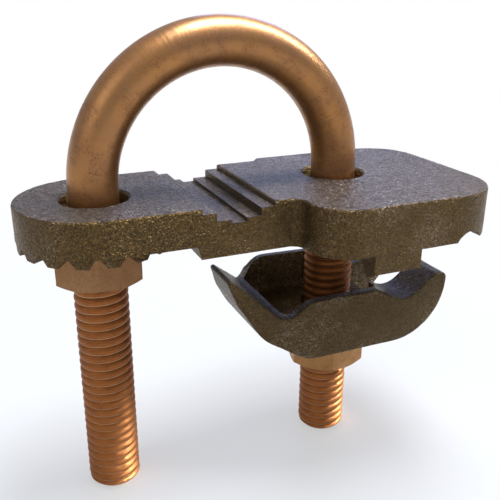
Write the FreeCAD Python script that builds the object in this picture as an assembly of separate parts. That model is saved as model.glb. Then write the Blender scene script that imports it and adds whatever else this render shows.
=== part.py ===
import FreeCAD, Part
import math
import os

# Earthing clamp for a pipe: a bent U-bolt, a cast clamp body with a stepped pipe seat, a cast
# cable saddle under the right leg, and a hexagon nut on each leg.
# The origin is the centre of the U-bolt's bend. X runs from leg to leg, Y along the pipe and
# Z up towards the crown of the bend. Lengths are in millimetres.

# U-bolt: a round rod, bent to a half circle, with a thread on the lower part of each leg
rod_diameter = 8.4
leg_spacing = 45.7
leg_length = 57.8
plain_leg = 4.9
thread_diameter = 9.525
thread_chamfer = 0.8
thread_runout = 0.8

# Clearances
nut_clearance = 0.06
bolt_hole_clearance = 0.95
saddle_hole_clearance = 0.35

# Hexagon nuts
nut_across_flats = 14.29
nut_height = 8.05
nut_chamfer_angle = 30.0
nut_countersink = 0.35
left_nut_turn = -101.0
right_nut_turn = -106.0

# Clamp body: a strip with a round left end. Its top lies below the centre of the bend, and its
# reaches are measured from the plane through both legs, and past the left leg.
body_top = -1.7
lobe_reach = 13.2
strip_front_reach = 13.3
strip_back_reach = 13.7
strip_thickness = 6.3
body_edge_radius = 0.45
hole_edge_chamfer = 0.4

# Thick part of the body: it starts at this X, and hangs lower than the strip by the step
thick_start = -9.0
thick_step = 2.25
thick_slant = 0.6

# Pad round the right leg, which juts out at the front and a little at the back. Its left and
# right reaches are measured from the right leg.
pad_left_reach = 13.85
pad_right_reach = 23.45
pad_front_jut = 9.8
pad_back_jut = 2.05
pad_neck_radius = 1.9
pad_front_left_radius = 7.0
pad_front_right_radius = 10.6
pad_back_right_radius = 9.0
jog_reach = 9.85
jog_slant = 1.4
jog_radius = 1.0

# Stepped pipe seat across the strip: half-width and depth of each step
seat_x = -2.05
seat_steps = [(6.35, 0.9), (3.9, 2.3), (1.35, 2.9)]

# Relief groove for the saddle's right lip, in the underside of the pad
relief_reach = 15.35
relief_radius = 3.5
relief_depth = 1.85

# Stop lug that hangs from the pad's front edge
lug_width = 9.3
lug_front_depth = 3.4
lug_tip_depth = 4.5
lug_tip_setback = 2.3
lug_root_setback = 3.9
lug_back_bulge = 0.6

# Crown of teeth under the left lobe, round the left nut
crown_inset = 0.15
crown_wall = 2.8
tooth_count = 17
tooth_height = 1.45
tooth_root_angle = 3.3
tooth_mouth_angle = 12.4

# Cable saddle on the right leg, below the pad. It starts at its left reach from that leg, and
# its side outline is laid out from there to the right by widths, with depths below its top.
saddle_gap = 11.2
saddle_front_reach = 13.65
saddle_back_reach = 11.05
saddle_left_reach = 27.3
saddle_depth = 18.4
rim_radius = 0.4
lip_tip_flat = 0.11
flank_width = 10.35
valley_width = 2.9
valley_depth = 8.9
valley_radius = 4.0
ramp_width = 2.7
plateau_width = 14.4
plateau_depth = 6.5
plateau_back_rise = 0.35
plateau_left_radius = 4.0
plateau_right_radius = 2.5
descent_width = 7.0
trough_depth = 10.35
trough_radius = 4.5
rise_width = 6.4
lip_width = 2.5
lip_depth = 5.4
lip_inner_radius = 0.7
lip_outer_radius = 1.3

# Belly of the saddle, from its underside up to the left lip: width and depth of each corner
belly_right_radius = 11.5
belly_left_width = 16.05
belly_left_radius = 7.0
flank_foot_width = 6.95
flank_foot_depth = 12.45
flank_foot_radius = 9.0
lip_foot_width = 2.0
lip_foot_depth = 4.8
lip_foot_radius = 6.0

# Slanted cut across the saddle's back left corner
cut_front_reach = 5.2
cut_width = 13.45
cut_radius = 1.2

# Cored pocket round the leg, and the slot that opens it at the saddle's right end
saddle_wall = 1.5
saddle_floor = 4.5
pocket_left_reach = 15.95
pocket_right_reach = 4.75
pocket_corner_radius = 2.2
pocket_front_bend_radius = 3.05
pocket_back_bend_radius = 1.8
pocket_floor_radius = 1.4
slot_half_width = 5.8
slot_mouth_reach = 9.65
slot_mouth_angle = 39.0

# Heights and places that follow from the sizes above
leg_x = leg_spacing / 2
thread_radius = thread_diameter / 2
bolt_hole_radius = thread_radius + bolt_hole_clearance
saddle_hole_radius = thread_radius + saddle_hole_clearance
strip_under = body_top - strip_thickness
pad_under = strip_under - thick_step
pad_front = -strip_front_reach - pad_front_jut
pad_back = strip_back_reach + pad_back_jut
crown_radius = min(lobe_reach, strip_front_reach, strip_back_reach) - crown_inset
saddle_left = leg_x - saddle_left_reach
saddle_top = pad_under - saddle_gap + plateau_depth
saddle_under = saddle_top - saddle_depth
valley_left = saddle_left + flank_width
valley_right = valley_left + valley_width
plateau_left = valley_right + ramp_width
plateau_right = plateau_left + plateau_width
trough_x = plateau_right + descent_width
lip_left = trough_x + rise_width
saddle_right = lip_left + lip_width

# How far each cutter runs past the faces that it opens
overrun = 5.0


def vec(x, y, z):
    return FreeCAD.Vector(x, y, z)


def plan_point(x, y):
    return vec(x, y, 0)


def side_point(x, z):
    return vec(x, 0, z)


def rounded_wire(corners, place):
    """Close a polygon of (a, b, radius) corners, rounding each as far as its sides allow."""
    points = [place(a, b) for a, b, radius in corners]
    count = len(points)
    backward = [(points[i - 1] - points[i]).normalize() for i in range(count)]
    forward = [(points[(i + 1) % count] - points[i]).normalize() for i in range(count)]
    halves = [backward[i].getAngle(forward[i]) / 2 for i in range(count)]
    reaches = [corners[i][2] / math.tan(halves[i]) for i in range(count)]
    shares = []
    for i in range(count):
        following = (i + 1) % count
        side = points[i].distanceToPoint(points[following])
        shares.append(min(1, side / max(reaches[i] + reaches[following], side)))
    edges = []
    starts = []
    ends = []
    for i in range(count):
        reach = reaches[i] * min(shares[i - 1], shares[i])
        starts.append(points[i] + backward[i] * reach)
        ends.append(points[i] + forward[i] * reach)
        if reach > 0:
            radius = reach * math.tan(halves[i])
            bisector = (backward[i] + forward[i]).normalize()
            middle = points[i] + bisector * (radius / math.sin(halves[i]) - radius)
            edges.append(Part.Arc(starts[i], middle, ends[i]).toShape())
    for i in range(count):
        following = (i + 1) % count
        if ends[i].distanceToPoint(starts[following]) > 1e-6:
            edges.append(Part.makeLine(ends[i], starts[following]))
    return Part.Wire(Part.__sortEdges__(edges))


def plan_prism(corners, low, high):
    """Rounded outline in the XY plane, raised from low to high."""
    face = Part.Face(rounded_wire(corners, plan_point))
    face.translate(vec(0, 0, low))
    return face.extrude(vec(0, 0, high - low))


def side_prism(corners, near, far):
    """Rounded outline in the XZ plane, carried along Y from near to far."""
    face = Part.Face(rounded_wire(corners, side_point))
    face.translate(vec(0, near, 0))
    return face.extrude(vec(0, far - near, 0))


def upright_cylinder(x, radius, low, high):
    return Part.makeCylinder(radius, high - low, vec(x, 0, low))


def edges_at_height(shape, height):
    """Edges that lie in the level plane at this height."""
    boxes = [(edge, edge.BoundBox) for edge in shape.Edges]
    return [edge for edge, box in boxes if max(abs(box.ZMin - height), abs(box.ZMax - height)) < 1e-4]


def edges_at_y(shape, y):
    """Edges that lie in the upright plane across the pipe at this Y."""
    boxes = [(edge, edge.BoundBox) for edge in shape.Edges]
    return [edge for edge, box in boxes if max(abs(box.YMin - y), abs(box.YMax - y)) < 1e-4]


def make_u_bolt():
    radius = rod_diameter / 2
    section = Part.Face(Part.Wire(Part.makeCircle(radius, vec(leg_x, 0, 0))))
    bolt = section.revolve(vec(0, 0, 0), vec(0, -1, 0), 180)
    foot_radius = thread_radius - thread_chamfer
    for side in (-1, 1):
        x = side * leg_x
        shank = upright_cylinder(x, radius, -plain_leg, 0)
        runout = Part.makeCone(thread_radius, radius, thread_runout, vec(x, 0, -plain_leg))
        thread = upright_cylinder(x, thread_radius, thread_chamfer - leg_length, -plain_leg)
        foot = Part.makeCone(foot_radius, thread_radius, thread_chamfer, vec(x, 0, -leg_length))
        bolt = bolt.fuse([shank, runout, thread, foot])
    return bolt.removeSplitter()


def make_nut(x, top, turn):
    """Hexagon nut: both faces chamfered to a cone, and a plain bore with countersunk ends."""
    flat = nut_across_flats / 2
    corner = flat / math.cos(math.pi / 6)
    rise = (corner - flat) * math.tan(math.radians(nut_chamfer_angle))
    bottom = top - nut_height
    points = []
    for step in range(7):
        angle = math.radians(turn + 60 * step)
        points.append(vec(x + corner * math.cos(angle), corner * math.sin(angle), bottom))
    hexagon = Part.Face(Part.makePolygon(points)).extrude(vec(0, 0, nut_height))
    half_section = [
        vec(x, 0, bottom),
        vec(x + flat, 0, bottom),
        vec(x + corner, 0, bottom + rise),
        vec(x + corner, 0, top - rise),
        vec(x + flat, 0, top),
        vec(x, 0, top),
        vec(x, 0, bottom),
    ]
    barrel = Part.Face(Part.makePolygon(half_section)).revolve(vec(x, 0, 0), vec(0, 0, 1), 360)
    bore_radius = thread_radius + nut_clearance
    mouth_radius = bore_radius + nut_countersink
    bore = upright_cylinder(x, bore_radius, bottom - overrun, top + overrun)
    low_mouth = Part.makeCone(mouth_radius, bore_radius, nut_countersink, vec(x, 0, bottom))
    high_mouth = Part.makeCone(bore_radius, mouth_radius, nut_countersink, vec(x, 0, top - nut_countersink))
    return hexagon.common(barrel).cut([bore, low_mouth, high_mouth]).removeSplitter()


def body_outline():
    left = -leg_x - lobe_reach
    pad_left = leg_x - pad_left_reach
    pad_right = leg_x + pad_right_reach
    jog_x = leg_x - jog_reach
    lobe_radius = (strip_front_reach + strip_back_reach) / 2
    return [
        (left, -strip_front_reach, lobe_radius),
        (pad_left, -strip_front_reach, pad_neck_radius),
        (pad_left, pad_front, pad_front_left_radius),
        (pad_right, pad_front, pad_front_right_radius),
        (pad_right, pad_back, pad_back_right_radius),
        (jog_x + jog_slant / 2, pad_back, jog_radius),
        (jog_x - jog_slant / 2, strip_back_reach, jog_radius),
        (left, strip_back_reach, lobe_radius),
    ]


def seat_cutter():
    """Stepped trough for the pipe, narrower and deeper towards its middle."""
    left = []
    right = []
    level = body_top + overrun
    for half_width, depth in seat_steps:
        left += [(seat_x - half_width, level, 0), (seat_x - half_width, body_top - depth, 0)]
        right += [(seat_x + half_width, level, 0), (seat_x + half_width, body_top - depth, 0)]
        level = body_top - depth
    return side_prism(left + right[::-1], -strip_front_reach - overrun, strip_back_reach + overrun)


def thin_strip_cutter():
    """Space under the left stretch of the strip, up to the slanted step of the thick part."""
    left = -leg_x - lobe_reach - overrun
    corners = [
        (left, strip_under, 0),
        (thick_start - thick_slant / 2, strip_under, 0),
        (thick_start + thick_slant / 2, pad_under, 0),
        (thick_start + thick_slant / 2, pad_under - overrun, 0),
        (left, pad_under - overrun, 0),
    ]
    return side_prism(corners, -strip_front_reach - overrun, strip_back_reach + overrun)


def make_crown():
    """Ring of teeth round the left leg, with tapered gaps cut through its wall."""
    crest = strip_under - tooth_height
    ring = upright_cylinder(-leg_x, crown_radius, crest, strip_under)
    inside = upright_cylinder(-leg_x, crown_radius - crown_wall, crest - overrun, strip_under + overrun)
    root_half = crown_radius * math.radians(tooth_root_angle) / 2
    mouth_half = crown_radius * math.radians(tooth_mouth_angle) / 2
    gap_profile = [
        vec(0, -root_half, strip_under),
        vec(0, root_half, strip_under),
        vec(0, mouth_half, crest),
        vec(0, -mouth_half, crest),
        vec(0, -root_half, strip_under),
    ]
    gap = Part.Face(Part.makePolygon(gap_profile)).extrude(vec(crown_radius + overrun, 0, 0))
    gaps = []
    for index in range(tooth_count):
        turned = gap.copy()
        turned.rotate(vec(0, 0, 0), vec(0, 0, 1), -90 + 360 * (index + 0.5) / tooth_count)
        turned.translate(vec(-leg_x, 0, 0))
        gaps.append(turned)
    return ring.cut([inside] + gaps)


def make_lug():
    """Stop lug: upright front face, sloping tip, and a bulging back that runs into the pad."""
    tip = vec(0, pad_front + lug_tip_setback, pad_under - lug_tip_depth)
    root = vec(0, pad_front + lug_root_setback, pad_under)
    chord = root - tip
    backwards = vec(0, chord.z, -chord.y).normalize()
    middle = (tip + root) * 0.5 + backwards * lug_back_bulge
    head = vec(0, pad_front + lug_root_setback, strip_under)
    front_head = vec(0, pad_front, strip_under)
    front_foot = vec(0, pad_front, pad_under - lug_front_depth)
    edges = [
        Part.makeLine(front_head, front_foot),
        Part.makeLine(front_foot, tip),
        Part.Arc(tip, middle, root).toShape(),
        Part.makeLine(root, head),
        Part.makeLine(head, front_head),
    ]
    face = Part.Face(Part.Wire(edges))
    face.translate(vec(leg_x - lug_width / 2, 0, 0))
    return face.extrude(vec(lug_width, 0, 0))


def make_relief():
    """Round bar that cuts the relief groove along Y in the underside of the pad."""
    start = vec(leg_x + relief_reach, pad_front - overrun, pad_under + relief_depth - relief_radius)
    return Part.makeCylinder(relief_radius, pad_back - pad_front + 2 * overrun, start, vec(0, 1, 0))


def make_clamp_body():
    body = plan_prism(body_outline(), pad_under, body_top)
    body = body.cut([seat_cutter(), thin_strip_cutter(), make_relief()])
    body = body.fuse([make_crown(), make_lug()]).removeSplitter()
    body = body.makeFillet(body_edge_radius, edges_at_height(body, body_top))
    for side in (-1, 1):
        x = side * leg_x
        hole = upright_cylinder(x, bolt_hole_radius, pad_under - overrun, body_top + overrun)
        mouth_base = vec(x, 0, body_top - hole_edge_chamfer)
        mouth_radius = bolt_hole_radius + 2 * hole_edge_chamfer
        mouth = Part.makeCone(bolt_hole_radius, mouth_radius, 2 * hole_edge_chamfer, mouth_base)
        body = body.cut([hole, mouth])
    return body


def saddle_profile(plateau_level):
    """Side outline: left lip, V valley, plateau, right trough, right lip and rounded belly."""
    tip_radius = rim_radius * 1.05
    tip_width = 2 * tip_radius + lip_tip_flat
    return [
        (saddle_left, saddle_top, tip_radius),
        (saddle_left + tip_width, saddle_top, tip_radius),
        (valley_left, saddle_top - valley_depth, valley_radius),
        (valley_right, saddle_top - valley_depth, valley_radius),
        (plateau_left, plateau_level, plateau_left_radius),
        (plateau_right, saddle_top - plateau_depth, plateau_right_radius),
        (trough_x, saddle_top - trough_depth, trough_radius),
        (lip_left, saddle_top - lip_depth, lip_inner_radius),
        (saddle_right, saddle_top - lip_depth, lip_outer_radius),
        (saddle_right, saddle_under, belly_right_radius),
        (saddle_left + belly_left_width, saddle_under, belly_left_radius),
        (saddle_left + flank_foot_width, saddle_top - flank_foot_depth, flank_foot_radius),
        (saddle_left + lip_foot_width, saddle_top - lip_foot_depth, lip_foot_radius),
    ]


def saddle_slant():
    """Angle of the slanted cut across the back left corner, from the X axis."""
    return math.atan2(saddle_back_reach + cut_front_reach, cut_width)


def saddle_plan():
    """Plan outline: square but for the back left corner, which is cut off at a slant."""
    left = saddle_left - overrun
    right = saddle_right + overrun
    slant_start = -cut_front_reach - overrun * math.tan(saddle_slant())
    return [
        (left, -saddle_front_reach, 0),
        (right, -saddle_front_reach, 0),
        (right, saddle_back_reach, 0),
        (saddle_left + cut_width, saddle_back_reach, cut_radius),
        (left, slant_start, 0),
    ]


def pocket_outline():
    """Plan outline of the pocket, one wall inside the saddle, and of the slot to the right."""
    near = saddle_wall - saddle_front_reach
    far = saddle_back_reach - saddle_wall
    left = leg_x - pocket_left_reach
    bend = leg_x + pocket_right_reach
    right = saddle_right + overrun
    slant = saddle_slant()
    cut_x = saddle_left + cut_width + saddle_wall * math.sin(slant)
    cut_y = saddle_back_reach - saddle_wall * math.cos(slant)
    return [
        (left, near, pocket_corner_radius),
        (bend, near, pocket_front_bend_radius),
        (bend, -slot_half_width, pocket_front_bend_radius),
        (right, -slot_half_width, 0),
        (right, slot_half_width, 0),
        (bend, slot_half_width, pocket_back_bend_radius),
        (bend, far, pocket_back_bend_radius),
        (cut_x - (cut_y - far) / math.tan(slant), far, pocket_corner_radius),
        (left, cut_y - (cut_x - left) * math.tan(slant), pocket_corner_radius),
    ]


def pocket_cutter():
    """Pocket and slot with a filleted floor that slopes down at the slot's mouth."""
    floor = saddle_under + saddle_floor
    pocket = plan_prism(pocket_outline(), floor, saddle_top + overrun)
    pocket = pocket.makeFillet(pocket_floor_radius, edges_at_height(pocket, floor))
    slope = math.tan(math.radians(slot_mouth_angle))
    start = leg_x + slot_mouth_reach
    end = saddle_right + overrun
    mouth_corners = [
        (start, floor, 0),
        (end, floor - (end - start) * slope, 0),
        (end, floor + overrun, 0),
        (start, floor + overrun, 0),
    ]
    mouth = side_prism(mouth_corners, -slot_half_width, slot_half_width)
    return pocket.fuse(mouth).removeSplitter()


def saddle_block():
    """Saddle before its cuts. Its plateau rises a little towards the back left corner."""
    front_level = saddle_top - plateau_depth
    front = rounded_wire(saddle_profile(front_level), side_point)
    back = rounded_wire(saddle_profile(front_level + plateau_back_rise), side_point)
    front.translate(vec(0, -saddle_front_reach, 0))
    back.translate(vec(0, saddle_back_reach, 0))
    return Part.makeLoft([front, back], True, True)


def make_cable_saddle():
    saddle = saddle_block()
    saddle = saddle.common(plan_prism(saddle_plan(), saddle_under - overrun, saddle_top + overrun))
    rims = edges_at_y(saddle, -saddle_front_reach) + edges_at_y(saddle, saddle_back_reach)
    saddle = saddle.makeFillet(rim_radius, rims)
    hole = upright_cylinder(leg_x, saddle_hole_radius, saddle_under - overrun, saddle_top + overrun)
    return saddle.cut([pocket_cutter(), hole]).removeSplitter()


os.makedirs("parts", exist_ok=True)
pieces = {
    "u_bolt": make_u_bolt(),
    "clamp_body": make_clamp_body(),
    "cable_saddle": make_cable_saddle(),
    "left_nut": make_nut(-leg_x, strip_under, left_nut_turn),
    "right_nut": make_nut(leg_x, saddle_under, right_nut_turn),
}
for name, shape in pieces.items():
    shape.exportStep(f"parts/{name}.step")
    print(name, "solids", len(shape.Solids), "valid", shape.isValid(), "volume", round(shape.Volume, 1))
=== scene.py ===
import math

import bmesh
import bpy
from mathutils import Matrix, Vector


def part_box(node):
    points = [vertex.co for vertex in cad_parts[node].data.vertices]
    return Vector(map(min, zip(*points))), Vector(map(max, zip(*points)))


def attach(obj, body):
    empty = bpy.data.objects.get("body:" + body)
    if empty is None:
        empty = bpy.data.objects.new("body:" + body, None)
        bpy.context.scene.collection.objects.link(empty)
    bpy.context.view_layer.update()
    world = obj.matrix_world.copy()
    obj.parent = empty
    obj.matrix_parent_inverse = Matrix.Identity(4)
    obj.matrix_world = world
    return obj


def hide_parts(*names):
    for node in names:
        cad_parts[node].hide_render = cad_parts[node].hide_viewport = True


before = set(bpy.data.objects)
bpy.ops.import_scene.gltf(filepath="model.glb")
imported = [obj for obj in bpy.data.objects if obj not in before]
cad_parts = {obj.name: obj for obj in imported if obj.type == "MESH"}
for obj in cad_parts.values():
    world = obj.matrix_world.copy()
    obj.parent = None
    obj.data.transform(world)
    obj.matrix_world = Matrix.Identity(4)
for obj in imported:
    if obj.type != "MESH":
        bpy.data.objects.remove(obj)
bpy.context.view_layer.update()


# U-bolt. One bronze rod, bent to a half circle, with a thread rolled on both legs.
# The rolled ridges are round on top with a narrow root between them. The rod is a single skin,
# laid out along the straight rod and then bent.

def feed(tree, socket, value):
    """Links a node's socket to another socket, or gives it a plain value."""
    if isinstance(value, bpy.types.NodeSocket):
        tree.links.new(value, socket)
    else:
        socket.default_value = value


def arithmetic(tree, operation, *values):
    """Adds one sum to a node tree. The values are sockets or plain numbers."""
    node = tree.nodes.new("ShaderNodeMath")
    node.operation = operation
    for socket, value in zip(node.inputs, values):
        feed(tree, socket, value)
    return node.outputs[0]


def vector_of(tree, x, y, z):
    """Puts three numbers together as one vector."""
    node = tree.nodes.new("ShaderNodeCombineXYZ")
    for socket, value in zip(node.inputs, (x, y, z)):
        feed(tree, socket, value)
    return node.outputs[0]


def parts_of(tree, vector):
    """Takes a vector apart into its X, Y and Z."""
    node = tree.nodes.new("ShaderNodeSeparateXYZ")
    feed(tree, node.inputs["Vector"], vector)
    return list(node.outputs)


def add_inputs(tree, sizes):
    """Gives a geometry tree one named input for each size, and returns their identifiers."""
    identifiers = {}
    for name, value in sizes.items():
        kind = "NodeSocketFloat"
        if isinstance(value, int):
            kind = "NodeSocketInt"
        elif isinstance(value, Vector):
            kind = "NodeSocketVector"
        socket = tree.interface.new_socket(name, in_out="INPUT", socket_type=kind)
        identifiers[name] = socket.identifier
    return identifiers


def close_tree(tree, steps, material):
    """Links the steps of a geometry tree in a row, and ends it in real geometry and a material."""
    smooth = tree.nodes.new("GeometryNodeSetShadeSmooth")
    realize = tree.nodes.new("GeometryNodeRealizeInstances")
    finish = tree.nodes.new("GeometryNodeSetMaterial")
    finish.inputs["Material"].default_value = material
    group_output = tree.nodes.new("NodeGroupOutput")
    chain = [*steps, smooth, realize, finish, group_output]
    for before, after in zip(chain, chain[1:]):
        tree.links.new(before.outputs["Geometry"], after.inputs["Geometry"])


def shape_by(tree, maker, sizes, identifiers):
    """Shapes an object by a geometry tree, with each size set by its input's identifier."""
    modifier = maker.modifiers.new("shape", "NODES")
    modifier.node_group = tree
    for name, value in sizes.items():
        modifier[identifiers[name]] = value


def plain_mesh(maker, name):
    """Keeps what an object's modifiers make as a plain mesh."""
    bpy.context.view_layer.update()
    evaluated = maker.evaluated_get(bpy.context.evaluated_depsgraph_get())
    mesh = bpy.data.meshes.new_from_object(evaluated)
    mesh.name = name
    return mesh


weld_gap = 1e-6
bolt_low, bolt_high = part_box("u_bolt")
thread_radius = bolt_high.y
bend_radius = bolt_high.x - thread_radius
rod_sizes = {
    "Thread Radius": thread_radius,
    "Bend Radius": bend_radius,
    "Rod Radius": bolt_high.z - bend_radius,
    "Leg Length": -bolt_low.z,
    "Plain Leg": 0.0049,
    "Thread Runout": 0.0008,
    "Foot Chamfer": 0.0008,
    "Thread Pitch": 0.0015875,
    "Thread Depth": 0.00036,
    "Ridge Squareness": 2.2,
    "Left Thread Start": -0.3,
    "Right Thread Start": -0.3,
    "Rows Per Turn": 14,
    "Plain Rows": 110,
    "Columns": 64,
}


def bent_rod_tree(sizes, material):
    """Grid of rows along the rod and columns round it, threaded at both ends and bent."""
    tree = bpy.data.node_groups.new("bent_threaded_rod", "GeometryNodeTree")
    identifiers = add_inputs(tree, sizes)
    tree.interface.new_socket("Geometry", in_out="OUTPUT", socket_type="NodeSocketGeometry")
    group_input = tree.nodes.new("NodeGroupInput")
    size = {name: group_input.outputs[name] for name in sizes}

    def sum_of(operation, *values):
        return arithmetic(tree, operation, *values)

    # The rows of a thread lean with it and stop at its ends, so each thread has two turns to spare.
    quarter_bend = sum_of("MULTIPLY", size["Bend Radius"], math.pi / 2)
    rod_end = sum_of("ADD", quarter_bend, size["Leg Length"])
    full_thread = sum_of("ADD", quarter_bend, size["Plain Leg"])
    plain_end = sum_of("SUBTRACT", full_thread, size["Thread Runout"])
    threaded = sum_of("SUBTRACT", rod_end, plain_end)
    turns = sum_of("ADD", sum_of("DIVIDE", threaded, size["Thread Pitch"]), 2.0)
    thread_rows = sum_of("CEIL", sum_of("MULTIPLY", turns, size["Rows Per Turn"]))
    row_count = sum_of("ADD", sum_of("MULTIPLY_ADD", thread_rows, 2.0, size["Plain Rows"]), 2.0)
    column_count = sum_of("ADD", size["Columns"], 1.0)

    grid = tree.nodes.new("GeometryNodeMeshGrid")
    tree.links.new(row_count, grid.inputs["Vertices X"])
    tree.links.new(column_count, grid.inputs["Vertices Y"])
    index = tree.nodes.new("GeometryNodeInputIndex").outputs[0]
    row = sum_of("FLOOR", sum_of("DIVIDE", sum_of("ADD", index, 0.5), column_count))
    column = sum_of("SUBTRACT", index, sum_of("MULTIPLY", row, column_count))
    turn = sum_of("DIVIDE", column, size["Columns"])
    angle = sum_of("MULTIPLY", turn, 2 * math.pi)

    def threaded_stretch(first_row, start, end, first_turn):
        """Place along the rod of each point of one threaded end, in rows that follow the thread."""
        row_turns = sum_of("DIVIDE", sum_of("SUBTRACT", row, first_row), size["Rows Per Turn"])
        turns_along = sum_of("SUBTRACT", sum_of("ADD", row_turns, first_turn), turn)
        place = sum_of("MULTIPLY_ADD", turns_along, size["Thread Pitch"], start)
        return sum_of("MINIMUM", sum_of("MAXIMUM", place, start), end)

    minus_end = sum_of("MULTIPLY", rod_end, -1.0)
    minus_plain = sum_of("MULTIPLY", plain_end, -1.0)
    left = threaded_stretch(1.0, minus_end, minus_plain, size["Left Thread Start"])
    plain_row = sum_of("SUBTRACT", row, thread_rows)
    plain_share = sum_of("DIVIDE", plain_row, size["Plain Rows"])
    plain = sum_of("MULTIPLY_ADD", plain_share, sum_of("MULTIPLY", plain_end, 2.0), minus_plain)
    plain = sum_of("MINIMUM", sum_of("MAXIMUM", plain, minus_plain), plain_end)
    right_row = sum_of("ADD", thread_rows, size["Plain Rows"])
    right = threaded_stretch(right_row, plain_end, rod_end, size["Right Thread Start"])
    along = sum_of("ADD", sum_of("ADD", left, plain), right)

    def thread_phase(start, first_turn):
        """Turns of the thread from its start to each point of the rod."""
        turns_along = sum_of("DIVIDE", sum_of("SUBTRACT", along, start), size["Thread Pitch"])
        return sum_of("SUBTRACT", sum_of("ADD", turns_along, turn), first_turn)

    left_phase = thread_phase(minus_end, size["Left Thread Start"])
    right_phase = thread_phase(plain_end, size["Right Thread Start"])
    on_right = sum_of("GREATER_THAN", along, 0.0)
    phase_gap = sum_of("SUBTRACT", right_phase, left_phase)
    phase = sum_of("FRACT", sum_of("MULTIPLY_ADD", on_right, phase_gap, left_phase))
    from_crest = sum_of("ABSOLUTE", sum_of("MULTIPLY_ADD", phase, 2.0, -1.0))
    hollow = sum_of("POWER", from_crest, size["Ridge Squareness"])
    ridge = sum_of("SUBTRACT", size["Thread Radius"], sum_of("MULTIPLY", hollow, size["Thread Depth"]))

    # The thread runs out into the thinner plain rod, and the feet are chamfered. The first and
    # the last row have no radius, which closes the feet.
    distance = sum_of("ABSOLUTE", along)
    foot_radius = sum_of("SUBTRACT", size["Thread Radius"], size["Foot Chamfer"])
    foot = sum_of("ADD", foot_radius, sum_of("SUBTRACT", rod_end, distance))
    upset = sum_of("SUBTRACT", size["Thread Radius"], size["Rod Radius"])
    slope = sum_of("DIVIDE", upset, size["Thread Runout"])
    runout = sum_of("MULTIPLY_ADD", sum_of("SUBTRACT", distance, plain_end), slope, size["Rod Radius"])
    runout = sum_of("MAXIMUM", runout, size["Rod Radius"])
    radius = sum_of("MINIMUM", sum_of("MINIMUM", ridge, foot), runout)
    last_row = sum_of("SUBTRACT", row_count, 1.0)
    not_first = sum_of("GREATER_THAN", row, 0.5)
    not_last = sum_of("LESS_THAN", sum_of("ADD", row, 0.5), last_row)
    radius = sum_of("MULTIPLY", radius, sum_of("MULTIPLY", not_first, not_last))

    outward = sum_of("MULTIPLY", radius, sum_of("COSINE", angle))
    sideways = sum_of("MULTIPLY", radius, sum_of("SINE", angle))
    in_bend = sum_of("MAXIMUM", along, sum_of("MULTIPLY", quarter_bend, -1.0))
    in_bend = sum_of("MINIMUM", in_bend, quarter_bend)
    bend_angle = sum_of("DIVIDE", in_bend, size["Bend Radius"])
    reach = sum_of("ADD", size["Bend Radius"], outward)
    drop = sum_of("MAXIMUM", sum_of("SUBTRACT", distance, quarter_bend), 0.0)
    x = sum_of("MULTIPLY", reach, sum_of("SINE", bend_angle))
    z = sum_of("SUBTRACT", sum_of("MULTIPLY", reach, sum_of("COSINE", bend_angle)), drop)
    place = tree.nodes.new("GeometryNodeSetPosition")
    tree.links.new(vector_of(tree, x, sideways, z), place.inputs["Position"])

    # For the material: each point's place on the straight rod, and its side of the ridge, on which a
    # highlight is painted along each ridge's lower edge.
    phase_angle = sum_of("MULTIPLY", phase, 2 * math.pi)
    root_side = sum_of("COSINE", phase_angle)
    downwards = sum_of("MULTIPLY_ADD", on_right, -2.0, 1.0)
    low_side = sum_of("MULTIPLY", sum_of("SINE", phase_angle), downwards)
    on_thread = sum_of("GREATER_THAN", distance, plain_end)
    stored = []
    for attribute, value in (
        ("straight_rod", vector_of(tree, along, outward, sideways)),
        ("thread_side", vector_of(tree, root_side, low_side, on_thread)),
    ):
        keep = tree.nodes.new("GeometryNodeStoreNamedAttribute")
        keep.data_type = "FLOAT_VECTOR"
        keep.inputs["Name"].default_value = attribute
        tree.links.new(value, keep.inputs["Value"])
        stored.append(keep)
    merge = tree.nodes.new("GeometryNodeMergeByDistance")
    merge.inputs["Distance"].default_value = weld_gap
    tree.links.new(grid.outputs["Mesh"], stored[0].inputs["Geometry"])
    close_tree(tree, [*stored, place, merge], material)
    return tree, identifiers


def new_material(name):
    """Adds a material, and returns it with its node tree and its shader."""
    material = bpy.data.materials.new(name)
    material.use_nodes = True
    shader = material.node_tree.nodes["Principled BSDF"]
    return material, material.node_tree, shader


def dress(tree, shader, looks):
    """Fills the shader's own sockets, each with a pattern or a plain number."""
    for name, value in looks.items():
        feed(tree, shader.inputs[name], value)


def noise(tree, way, scale, **settings):
    """Adds a noise pattern that reads the given way over the surface."""
    node = tree.nodes.new("ShaderNodeTexNoise")
    feed(tree, node.inputs["Vector"], way)
    feed(tree, node.inputs["Scale"], scale)
    for name, value in settings.items():
        node.inputs[name].default_value = value
    return node.outputs["Fac"]


def as_colour(value):
    """A colour or one number for grey, with its alpha. A socket stays as it is."""
    if isinstance(value, tuple):
        return (*value, 1.0)
    if isinstance(value, float):
        return (value, value, value, 1.0)
    return value


def ramp(tree, factor, *stops):
    """Colour or strength along a factor, from (position, colour) stops."""
    node = tree.nodes.new("ShaderNodeValToRGB")
    elements = node.color_ramp.elements
    while len(elements) < len(stops):
        elements.new(1.0)
    for element, (position, colour) in zip(elements, stops):
        element.position = position
        element.color = as_colour(colour)
    feed(tree, node.inputs["Fac"], factor)
    return node.outputs["Color"]


def blended(tree, factor, first, second, mode="MIX"):
    """Mixes two colours by a factor. Each may be a socket, a colour or a number."""
    node = tree.nodes.new("ShaderNodeMix")
    node.data_type = "RGBA"
    node.blend_type = mode
    feed(tree, node.inputs["Factor"], factor)
    feed(tree, node.inputs[6], as_colour(first))
    feed(tree, node.inputs[7], as_colour(second))
    return node.outputs[2]


def multiplied(tree, first, second):
    """Multiplies two colours or strengths."""
    return blended(tree, 1.0, first, second, "MULTIPLY")


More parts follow.
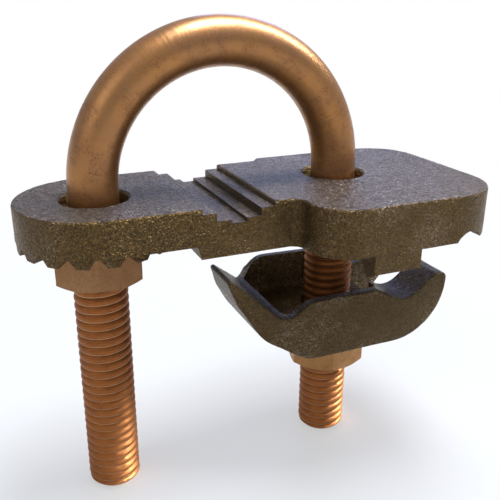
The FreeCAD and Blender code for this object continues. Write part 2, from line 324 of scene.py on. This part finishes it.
def raised(tree, height, distance, strength, under=None):
    """Adds relief to the surface, on top of the relief under it."""
    node = tree.nodes.new("ShaderNodeBump")
    node.inputs["Strength"].default_value = strength
    node.inputs["Distance"].default_value = distance
    feed(tree, node.inputs["Height"], height)
    if under is not None:
        feed(tree, node.inputs["Normal"], under)
    return node.outputs["Normal"]


def stored_way(tree, name):
    """The vector that the rod's own tree stored at each point of the surface."""
    node = tree.nodes.new("ShaderNodeAttribute")
    node.attribute_name = name
    return node.outputs["Vector"]


def stretched(tree, way, share, lean=0):
    """The same way over the surface, drawn out along a line that leans by some degrees."""
    node = tree.nodes.new("ShaderNodeMapping")
    node.inputs["Rotation"].default_value = (0.0, 0.0, math.radians(lean))
    node.inputs["Scale"].default_value = share
    feed(tree, node.inputs["Vector"], way)
    return node.outputs["Vector"]


def rod_bronze():
    """Satin copper bronze with fine cross lines and clusters of brown specks and short scratches.

    The plain rod has a thin clear sheen. The rolled thread is duller, and darker and redder,
    partly in its own tone and partly as painted shade and bounce light from its grooves.
    Each ridge has a painted pale highlight along its lower edge.
    """
    copper = (0.415, 0.186, 0.052)
    brown_copper = (0.330, 0.158, 0.062)
    speck_brown = (0.205, 0.082, 0.036)
    # The thread's darker, redder tones are partly its own and partly painted shade and bounce light from
    # its grooves.
    thread_red_with_groove_shade = (0.300, 0.100, 0.023)
    thread_brown_with_groove_shade = (0.165, 0.052, 0.018)
    # Painted highlight: a pale line along the lower edge of each ridge.
    painted_lip_highlight = (0.60, 0.41, 0.23)
    sheen = 0.2
    lip_highlight_angle = math.radians(58)
    material, tree, shader = new_material("rod_bronze")
    place = stored_way(tree, "straight_rod")
    root_side, low_side, on_thread = parts_of(tree, stored_way(tree, "thread_side"))
    lines = noise(tree, stretched(tree, place, (1.0, 0.03, 0.03)), 2300.0, Detail=3.0)
    patches = noise(tree, place, 150.0, Detail=4.0, Roughness=0.6)
    clouds = noise(tree, place, 420.0, Detail=4.0, Roughness=0.65)
    specks = noise(tree, place, 5200.0, Detail=2.0, Roughness=0.7, Distortion=0.3)

    speck_share = ramp(tree, specks, (0.50, 0.0), (0.58, 1.0))
    speck_place = ramp(tree, clouds, (0.49, 0.0), (0.60, 0.85))
    dirt = multiplied(tree, speck_share, speck_place)
    streak_place = ramp(tree, clouds, (0.46, 0.0), (0.54, 1.0))
    for lean in (35, -50):
        streaks = noise(tree, stretched(tree, place, (1.0, 0.12, 1.0), lean), 4600.0, Detail=1.0)
        streak_share = ramp(tree, streaks, (0.62, 0.0), (0.70, 0.6))
        dirt = blended(tree, 1.0, dirt, multiplied(tree, streak_share, streak_place), "LIGHTEN")

    tone = ramp(tree, patches, (0.32, copper), (0.68, brown_copper))
    tone = blended(tree, dirt, tone, speck_brown)
    tone = blended(tree, on_thread, tone, blended(tree, dirt, thread_red_with_groove_shade, thread_brown_with_groove_shade))
    # Painted highlight on each ridge, strongest on its lower edge.
    lip_highlight_share = arithmetic(tree, "MULTIPLY", root_side, math.cos(lip_highlight_angle))
    lip_highlight_share = arithmetic(tree, "MULTIPLY_ADD", low_side, math.sin(lip_highlight_angle), lip_highlight_share)
    lip_highlight_share = arithmetic(tree, "MULTIPLY", lip_highlight_share, on_thread)
    tone = blended(tree, ramp(tree, lip_highlight_share, (0.84, 0.0), (0.95, 0.9)), tone, painted_lip_highlight)
    gloss = ramp(tree, lines, (0.3, 0.30), (0.7, 0.38))
    gloss = blended(tree, dirt, gloss, 0.62)
    gloss = blended(tree, on_thread, gloss, 0.52)
    relief = raised(tree, lines, 0.00005, 0.8)
    relief = raised(tree, specks, 0.00003, 0.5, relief)
    dress(tree, shader, {
        "Base Color": tone,
        "Metallic": 0.8,
        "Roughness": gloss,
        "Coat Weight": arithmetic(tree, "MULTIPLY_ADD", on_thread, -sheen, sheen),
        "Coat Roughness": 0.26,
        "Normal": relief,
    })
    return material


bent_rod, rod_identifiers = bent_rod_tree(rod_sizes, rod_bronze())
rod_maker = bpy.data.objects.new("rod_maker", bpy.data.meshes.new("rod_start"))
bpy.context.scene.collection.objects.link(rod_maker)
shape_by(bent_rod, rod_maker, rod_sizes, rod_identifiers)
rod = bpy.data.objects.new("u_bolt_rod", plain_mesh(rod_maker, "u_bolt_rod"))
bpy.data.objects.remove(rod_maker)
bpy.context.scene.collection.objects.link(rod)
rod_edge_angle = math.radians(38)
rod.data.set_sharp_from_angle(angle=rod_edge_angle)
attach(rod, "u_bolt")
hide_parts("u_bolt")


# Clamp body. One sand casting in dark bronze, with a stepped pipe seat and a crown of teeth.
# Its skin is uneven from the sand and its edges are worn a little round. Gold and pale glints are
# painted on the crests of its grain, and shade in its creases.

def vector_arithmetic(tree, operation, *values):
    """Adds one sum on vectors to a node tree, and returns its outputs."""
    node = tree.nodes.new("ShaderNodeVectorMath")
    node.operation = operation
    for socket, value in zip(node.inputs, values):
        feed(tree, socket, value)
    return node.outputs


def uneven_skin_tree(sizes, material):
    """Presses hollows of two sizes into the skin, and leaves the rest on the solid's own faces."""
    tree = bpy.data.node_groups.new("uneven_" + material.name, "GeometryNodeTree")
    tree.interface.new_socket("Geometry", in_out="INPUT", socket_type="NodeSocketGeometry")
    tree.interface.new_socket("Geometry", in_out="OUTPUT", socket_type="NodeSocketGeometry")
    identifiers = add_inputs(tree, sizes)
    group_input = tree.nodes.new("NodeGroupInput")
    place = tree.nodes.new("GeometryNodeInputPosition").outputs[0]
    untouched = 0.45
    heights = []
    for grain in ("Broad", "Fine"):
        scale = arithmetic(tree, "DIVIDE", 1.0, group_input.outputs[grain + " Size"])
        hollow = arithmetic(tree, "SUBTRACT", noise(tree, place, scale, Detail=2.0), untouched)
        hollow = arithmetic(tree, "MAXIMUM", hollow, 0.0)
        heights.append(arithmetic(tree, "MULTIPLY", hollow, group_input.outputs[grain + " Height"]))
    depth = arithmetic(tree, "ADD", *heights)
    inward = tree.nodes.new("ShaderNodeVectorMath")
    inward.operation = "SCALE"
    tree.links.new(tree.nodes.new("GeometryNodeInputNormal").outputs["Normal"], inward.inputs[0])
    tree.links.new(arithmetic(tree, "MULTIPLY", depth, -1.0), inward.inputs["Scale"])
    shift = tree.nodes.new("GeometryNodeSetPosition")
    tree.links.new(inward.outputs["Vector"], shift.inputs["Offset"])

    # A point that lies past the solid's own box comes back to it.
    limited = vector_arithmetic(tree, "MAXIMUM", place, group_input.outputs["Lowest"])["Vector"]
    limited = vector_arithmetic(tree, "MINIMUM", limited, group_input.outputs["Highest"])["Vector"]
    keep_inside = tree.nodes.new("GeometryNodeSetPosition")
    tree.links.new(limited, keep_inside.inputs["Position"])
    close_tree(tree, [group_input, shift, keep_inside], material)
    return tree, identifiers


def worn_copy(node, name, cells_across, wear_share, unevenness, material):
    """Copy of a node with worn edges and an uneven skin, all within the solid's faces."""
    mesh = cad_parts[node].data.copy()
    shell = bmesh.new()
    shell.from_mesh(mesh)
    bmesh.ops.remove_doubles(shell, verts=shell.verts, dist=weld_gap)
    bmesh.ops.recalc_face_normals(shell, faces=shell.faces)
    shell.to_mesh(mesh)
    shell.free()
    piece = bpy.data.objects.new(name, mesh)
    bpy.context.scene.collection.objects.link(piece)
    skin = piece.modifiers.new("skin", "REMESH")
    skin.mode = "SHARP"
    skin.octree_depth = 8
    skin.scale = cells_across / 2 ** skin.octree_depth
    skin.use_remove_disconnected = False
    wear = piece.modifiers.new("wear", "SMOOTH")
    wear.factor = wear_share
    wear.iterations = 1
    lowest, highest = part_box(node)
    sizes = {**unevenness, "Lowest": lowest, "Highest": highest}
    tree, identifiers = uneven_skin_tree(sizes, material)
    shape_by(tree, piece, sizes, identifiers)
    finished = plain_mesh(piece, name)
    piece.modifiers.clear()
    piece.data = finished
    worn_edge_angle = math.radians(32)
    finished.set_sharp_from_angle(angle=worn_edge_angle)
    return piece


def cast_bronze(name, painted_shade_share, glint_from, painted_light_place, painted_light_gain):
    """Dark sand-cast bronze with a fine leathery grain, with painted shade in its creases and painted
    gold glints on its crests.

    Its grain is painted darker in its pits and gold on its high points, as shade and glints on the
    relief, over the grain's own tone. Open upper faces carry a painted grey sky reflection, and the
    given hollows are painted lighter, as light that reaches into them.
    """
    # The painted shade share darkens every tone but the pale glint; the saddle's copy is darker as
    # painted shade.
    def toned(*colour):
        return tuple(part * painted_shade_share for part in colour)

    # Grain tones: the grain's own tone, with painted shade in its pits and painted gold light on its
    # high points.
    dark_brown = toned(0.064, 0.042, 0.021)
    brown = toned(0.109, 0.068, 0.025)
    gold_brown = toned(0.152, 0.095, 0.033)
    dark_grey = toned(0.046, 0.033, 0.024)
    # Painted grey sky reflection for open upper faces.
    grey = toned(0.096, 0.071, 0.056)
    pale_grey = toned(0.166, 0.134, 0.124)
    # Painted glints on the crests of the grain: gold, and pale in some patches.
    glint_gold = toned(0.215, 0.134, 0.048)
    glint_pale = (0.46, 0.41, 0.34)
    cool_shade = (0.90, 0.91, 0.96)
    warm_shade = (1.16, 1.12, 1.04)
    material, tree, shader = new_material(name)
    way = tree.nodes.new("ShaderNodeTexCoord").outputs
    place = way["Object"]
    facing_up = parts_of(tree, way["Normal"])[2]
    patches = noise(tree, place, 110.0, Detail=3.0)
    mottle = noise(tree, place, 1150.0, Detail=3.0, Roughness=0.6, Distortion=1.2)
    folds = noise(tree, place, 1500.0, Detail=2.0, Distortion=1.0)
    grain = noise(tree, place, 3600.0, Detail=2.0, Roughness=0.5, Distortion=0.6)
    from_crest = arithmetic(tree, "ABSOLUTE", arithmetic(tree, "SUBTRACT", folds, 0.5))
    crest = ramp(tree, from_crest, (0.0, 1.0), (0.05, 0.0))
    # Painted shade in the creases beside the fold crests.
    painted_crease_shade = ramp(tree, from_crest, (0.05, 1.0), (0.13, 0.80))

    # The grain's low points are painted dark and its high points gold, as shade and glints, over its own
    # tone.
    tone = ramp(tree, grain, (0.36, dark_brown), (0.50, brown), (0.64, gold_brown))
    tone = multiplied(tree, tone, ramp(tree, patches, (0.3, cool_shade), (0.7, warm_shade)))
    # Open upper faces get the painted sky reflection, outside the painted-light hollows.
    painted_sky_reflection = ramp(tree, mottle, (0.38, dark_grey), (0.50, grey), (0.62, pale_grey))
    painted_light_share = painted_light_place(tree, place)
    facing_sky = ramp(tree, facing_up, (0.70, 0.0), (0.92, 1.0))
    painted_reflection_share = arithmetic(tree, "MULTIPLY", facing_sky, arithmetic(tree, "SUBTRACT", 1.0, painted_light_share))
    tone = blended(tree, painted_reflection_share, tone, painted_sky_reflection)
    tone = multiplied(tree, tone, painted_crease_shade)
    # Painted glints along the fold crests where the grain is high.
    glint_tone = ramp(tree, patches, (glint_from, glint_gold), (glint_from + 0.12, glint_pale))
    glint_share = multiplied(tree, crest, ramp(tree, grain, (0.42, 0.0), (0.62, 0.65)))
    tone = blended(tree, glint_share, tone, glint_tone)
    # Painted light: the given hollows are lightened, as light reaching into them.
    tone = blended(tree, painted_light_share, tone, multiplied(tree, tone, painted_light_gain))
    relief = raised(tree, folds, 0.00065, 1.0)
    relief = raised(tree, crest, 0.00007, 1.0, relief)
    relief = raised(tree, grain, 0.00020, 1.0, relief)
    dress(tree, shader, {
        "Base Color": tone,
        "Metallic": 0.9,
        "Roughness": ramp(tree, grain, (0.35, 0.41), (0.65, 0.29)),
        "Normal": relief,
    })
    return material


cast_skin = {"Broad Height": 0.00016, "Broad Size": 0.005, "Fine Height": 0.00010, "Fine Size": 0.0011}
bolt_hole_radius = 0.00578


def in_bolt_holes(tree, place):
    """1 on the walls of the two bolt holes, where light is painted in, 0 elsewhere."""
    x, y = parts_of(tree, place)[:2]
    from_leg = arithmetic(tree, "SUBTRACT", arithmetic(tree, "ABSOLUTE", x), bend_radius)
    distance = vector_arithmetic(tree, "LENGTH", vector_of(tree, from_leg, y, 0.0))["Value"]
    return arithmetic(tree, "LESS_THAN", distance, bolt_hole_radius)


# Painted light: the bolt-hole walls are lightened 1.9 times.
body_bronze = cast_bronze("body_cast_bronze", painted_shade_share=1.0, glint_from=0.53,
                          painted_light_place=in_bolt_holes, painted_light_gain=1.9)
body = worn_copy("clamp_body", "clamp_body_casting", cells_across=250, wear_share=0.2,
                 unevenness=cast_skin, material=body_bronze)
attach(body, "clamp_body")
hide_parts("clamp_body")


# Cable saddle. The same cast bronze, painted darker as shade, cored out round the leg, with two dips for
# cables. It slides on the right leg and is squeezed up against the body by its nut.

saddle_low, saddle_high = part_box("cable_saddle")
pocket_start = 0.0110
pocket_end = 0.0325
pocket_wall = 0.0014
pocket_floor = 0.0041
pocket_low = saddle_low + Vector((pocket_start, pocket_wall, pocket_floor))
pocket_high = Vector((saddle_low.x + pocket_end, saddle_high.y - pocket_wall, saddle_high.z))


def in_pocket(tree, place):
    """1 on the walls and floor of the cored pocket, where light is painted in, 0 elsewhere."""
    pocket_middle = (pocket_low + pocket_high) / 2
    pocket_half = (pocket_high - pocket_low) / 2
    from_middle = vector_arithmetic(tree, "SUBTRACT", place, pocket_middle)["Vector"]
    share = vector_arithmetic(tree, "DIVIDE", from_middle, pocket_half)["Vector"]
    farthest = 0.0
    for part in parts_of(tree, share):
        farthest = arithmetic(tree, "MAXIMUM", arithmetic(tree, "ABSOLUTE", part), farthest)
    return arithmetic(tree, "LESS_THAN", farthest, 1.0)


# The saddle's bronze is darkened as painted shade, with more painted glints and painted light in its
# pocket.
saddle_bronze = cast_bronze("saddle_cast_bronze", painted_shade_share=0.84, glint_from=0.44,
                            painted_light_place=in_pocket, painted_light_gain=2.2)
saddle = worn_copy("cable_saddle", "cable_saddle_casting", cells_across=200, wear_share=0.3,
                   unevenness=cast_skin, material=saddle_bronze)
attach(saddle, "cable_saddle")
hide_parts("cable_saddle")


# Hexagon nuts. Solid bronze with chamfered corners, duller than the rod, and the right one painted
# lighter than the left as light on it. Each turns on the thread of its own leg.

def nut_bronze(name, dark_tone, light_tone):
    """Dull tan bronze with fine dark specks."""
    speck_brown = (0.105, 0.052, 0.026)
    material, tree, shader = new_material(name)
    place = tree.nodes.new("ShaderNodeTexCoord").outputs["Object"]
    patches = noise(tree, place, 220.0, Detail=4.0)
    specks = noise(tree, place, 3000.0, Detail=4.0, Roughness=0.7, Distortion=1.2)
    tone = ramp(tree, patches, (0.3, dark_tone), (0.7, light_tone))
    tone = blended(tree, ramp(tree, specks, (0.55, 0.0), (0.66, 0.7)), tone, speck_brown)
    dress(tree, shader, {
        "Base Color": tone,
        "Metallic": 1.0,
        "Roughness": ramp(tree, specks, (0.4, 0.42), (0.65, 0.58)),
        "Normal": raised(tree, specks, 0.00003, 0.5),
    })
    return material


nut_skin = {"Broad Height": 0.00005, "Broad Size": 0.004, "Fine Height": 0.00004, "Fine Size": 0.0008}
# The right nut's lighter tones are painted light.
nut_tones_with_painted_light = {
    "left_nut": ((0.235, 0.120, 0.053), (0.300, 0.165, 0.080)),
    "right_nut": ((0.300, 0.150, 0.058), (0.385, 0.205, 0.086)),
}
for nut_name, (dark_tone, light_tone) in nut_tones_with_painted_light.items():
    dull_bronze = nut_bronze(nut_name + "_bronze", dark_tone, light_tone)
    nut = worn_copy(nut_name, nut_name + "_hexagon", cells_across=110, wear_share=0.4,
                    unevenness=nut_skin, material=dull_bronze)
    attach(nut, nut_name)
    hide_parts(nut_name)


# Floor, lamps and camera. A plain white floor just under the feet of the legs, soft lamps above,
# two narrow beams on the threads, and the camera where the photograph was taken from.

def seen_directly(tree):
    """1 for what the camera, the metal's gloss and clear parts show, 0 for light on the object."""
    path = tree.nodes.new("ShaderNodeLightPath")
    shown = path.outputs["Is Camera Ray"]
    for other in ("Is Glossy Ray", "Is Transmission Ray"):
        shown = arithmetic(tree, "MAXIMUM", shown, path.outputs[other])
    return shown


def floor_white():
    """White floor that takes the object's shadow close by and is plain white farther out."""
    material, tree, shader = new_material("floor_white")
    place = tree.nodes.new("ShaderNodeTexCoord").outputs["Object"]
    dress(tree, shader, {
        "Base Color": ramp(tree, noise(tree, place, 30.0), (0.0, 0.80), (1.0, 0.82)),
        "Roughness": 0.9,
        "Specular IOR Level": 0.0,
    })
    white = tree.nodes.new("ShaderNodeEmission")
    reach = tree.nodes.new("ShaderNodeMapRange")
    reach.interpolation_type = "SMOOTHSTEP"
    reach.inputs["From Min"].default_value = 0.08
    reach.inputs["From Max"].default_value = 0.24
    reach.inputs["To Min"].default_value = 0.45
    feed(tree, reach.inputs["Value"], vector_arithmetic(tree, "LENGTH", place)["Value"])
    share = arithmetic(tree, "MULTIPLY", reach.outputs["Result"], seen_directly(tree))
    mix = tree.nodes.new("ShaderNodeMixShader")
    tree.links.new(share, mix.inputs[0])
    tree.links.new(shader.outputs["BSDF"], mix.inputs[1])
    tree.links.new(white.outputs["Emission"], mix.inputs[2])
    tree.links.new(mix.outputs["Shader"], tree.nodes["Material Output"].inputs["Surface"])
    return material


floor_reach = 12.0
floor_gap = 0.0002
floor_level = bolt_low.z - floor_gap
floor_quarters = ((-1, -1), (1, -1), (1, 1), (-1, 1))
floor_corners = [(x * floor_reach, y * floor_reach, floor_level) for x, y in floor_quarters]
floor_mesh = bpy.data.meshes.new("floor")
floor_mesh.from_pydata(floor_corners, [], [(0, 1, 2, 3)])
floor_mesh.materials.append(floor_white())
floor = bpy.data.objects.new("floor", floor_mesh)
bpy.context.scene.collection.objects.link(floor)

world = bpy.data.worlds.new("studio")
world.use_nodes = True
sky = world.node_tree.nodes["Background"]
sky.inputs["Color"].default_value = (0.80, 0.87, 1.0, 1.0)
sky.inputs["Strength"].default_value = 0.54
bpy.context.scene.world = world


def lamp(name, place, size, watts, colour, aim=(0, 0, 0), gloss_only=False, beam=180.0):
    """Bright rectangle that points at a place. Its beam in degrees is wide unless it is narrowed."""
    light = bpy.data.lights.new(name, "AREA")
    light.shape = "RECTANGLE"
    light.size, light.size_y = size
    light.energy = watts
    light.color = colour
    light.spread = math.radians(beam)
    holder = bpy.data.objects.new(name, light)
    holder.location = place
    holder.rotation_mode = "QUATERNION"
    holder.rotation_quaternion = (Vector(aim) - Vector(place)).to_track_quat("-Z", "Y")
    holder.visible_camera = False
    holder.visible_diffuse = not gloss_only
    bpy.context.scene.collection.objects.link(holder)


cool_white = (0.80, 0.92, 1.0)
lamp("top_lamp", (0.09, -0.01, 0.45), (0.26, 0.16), watts=2.2, colour=(0.94, 0.96, 1.0))
lamp("left_lamp", (-0.42, -0.18, 0.30), (0.34, 0.34), watts=0.4, colour=(1.0, 0.97, 0.93))
lamp("back_lamp", (0.34, 0.60, 0.27), (0.32, 0.24), watts=0.85, colour=(0.36, 0.50, 1.0))
lamp("strip_lamp", (0.23, 0.0, 0.39), (0.14, 0.52), watts=5.0, colour=(0.93, 0.96, 1.0), gloss_only=True)
lamp("right_thread_lamp", (0.46, -0.11, 0.23), (0.03, 0.03), watts=0.050, colour=cool_white,
     aim=(0.0250, 0, -0.071), gloss_only=True, beam=5.0)
lamp("left_thread_lamp", (0.379, -0.29, 0.06), (0.02, 0.02), watts=0.011, colour=cool_white,
     aim=(-0.0230, 0, -0.062), gloss_only=True, beam=4.0)

camera_place = Vector((-0.042646, -0.109440, 0.030841))
camera_yaw = math.radians(23.824)
camera_pitch = math.radians(21.110)
camera_roll = math.radians(0.434)
camera_data = bpy.data.cameras.new("camera")
camera_data.sensor_width = 36.0
camera_data.lens = 48.68
camera_data.clip_start = 0.005
camera_data.clip_end = 100.0
camera = bpy.data.objects.new("camera", camera_data)
level_way = Vector((math.sin(camera_yaw), math.cos(camera_yaw), 0))
right_way = Vector((math.cos(camera_yaw), -math.sin(camera_yaw), 0))
up = Vector((0, 0, 1))
forward = level_way * math.cos(camera_pitch) - up * math.sin(camera_pitch)
above = level_way * math.sin(camera_pitch) + up * math.cos(camera_pitch)
camera_x = right_way * math.cos(camera_roll) + above * math.sin(camera_roll)
camera_y = above * math.cos(camera_roll) - right_way * math.sin(camera_roll)
turned = Matrix((camera_x, camera_y, -forward)).transposed().to_4x4()
camera.matrix_world = Matrix.Translation(camera_place) @ turned
bpy.context.scene.collection.objects.link(camera)
bpy.context.scene.camera = camera
bpy.context.scene.view_settings.view_transform = "Standard"
